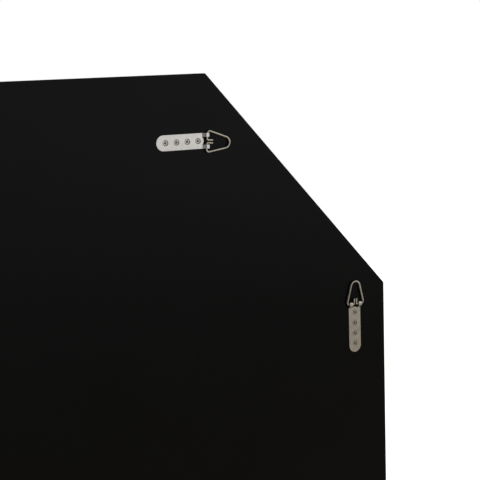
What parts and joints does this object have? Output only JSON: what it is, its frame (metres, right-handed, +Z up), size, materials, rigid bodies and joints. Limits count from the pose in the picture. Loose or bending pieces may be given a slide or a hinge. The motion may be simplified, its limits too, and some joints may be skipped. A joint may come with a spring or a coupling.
{
  "type": "wall mirror",
  "caption": "Frameless octagonal wall mirror with a bevelled centre plate, mitred mirror border and hinged wire rings on its black back for hanging upright or sideways.",
  "frame": {"origin": "middle of the board's back face, the side that faces the wall", "axes": "+Z up when the mirror hangs upright, +Y out of the back towards the wall, -Y out of the mirrored front, X across"},
  "size_m": [0.8, 0.0248, 1.2],
  "materials": {
    "painted_board": "fibreboard under satin black paint",
    "mirror_glass": "silvered float glass, polished bevels",
    "foam_tape": "closed-cell foam mounting tape",
    "strap_plating": "pressed sheet steel, satin nickel plating",
    "ring_plating": "drawn wire, nickel plating",
    "screw_plating": "zinc-plated steel"
  },
  "bodies": {
    "mirror": {"back_board": "painted_board", "centre_mirror": "mirror_glass", "border_strip_top": "mirror_glass", "border_strip_top_right": "mirror_glass", "border_strip_right": "mirror_glass", "border_strip_bottom_right": "mirror_glass", "border_strip_bottom": "mirror_glass", "border_strip_bottom_left": "mirror_glass", "border_strip_left": "mirror_glass", "border_strip_top_left": "mirror_glass", "border_tape": "foam_tape", "centre_tape": "foam_tape", "hanger_strap_left": "strap_plating", "hanger_strap_right": "strap_plating", "hanger_strap_top": "strap_plating", "hanger_strap_bottom": "strap_plating", "hanger_screws": "screw_plating"},
    "ring_left": {"hanger_ring_left": "ring_plating"},
    "ring_right": {"hanger_ring_right": "ring_plating"},
    "ring_top": {"hanger_ring_top": "ring_plating"},
    "ring_bottom": {"hanger_ring_bottom": "ring_plating"}
  },
  "joints": [
    {"name": "ring_left_hinge", "type": "hinge", "parent": "mirror", "child": "ring_left", "pos_m": [-0.3523, 0.00245, 0.29799], "axis": [-0.9997, 0, -0.0262], "range_deg": [-2, 175]},
    {"name": "ring_right_hinge", "type": "hinge", "parent": "mirror", "child": "ring_right", "pos_m": [0.3524, 0.00245, 0.29798], "axis": [-0.999, 0, 0.0436], "range_deg": [-2, 175]},
    {"name": "ring_top_hinge", "type": "hinge", "parent": "mirror", "child": "ring_top", "pos_m": [-0.14721, 0.00245, 0.5219], "axis": [0.1132, 0, -0.9936], "range_deg": [-2, 175]},
    {"name": "ring_bottom_hinge", "type": "hinge", "parent": "mirror", "child": "ring_bottom", "pos_m": [-0.14728, 0.00245, -0.5232], "axis": [0.0436, 0, -0.999], "range_deg": [-2, 175]}
  ]
}
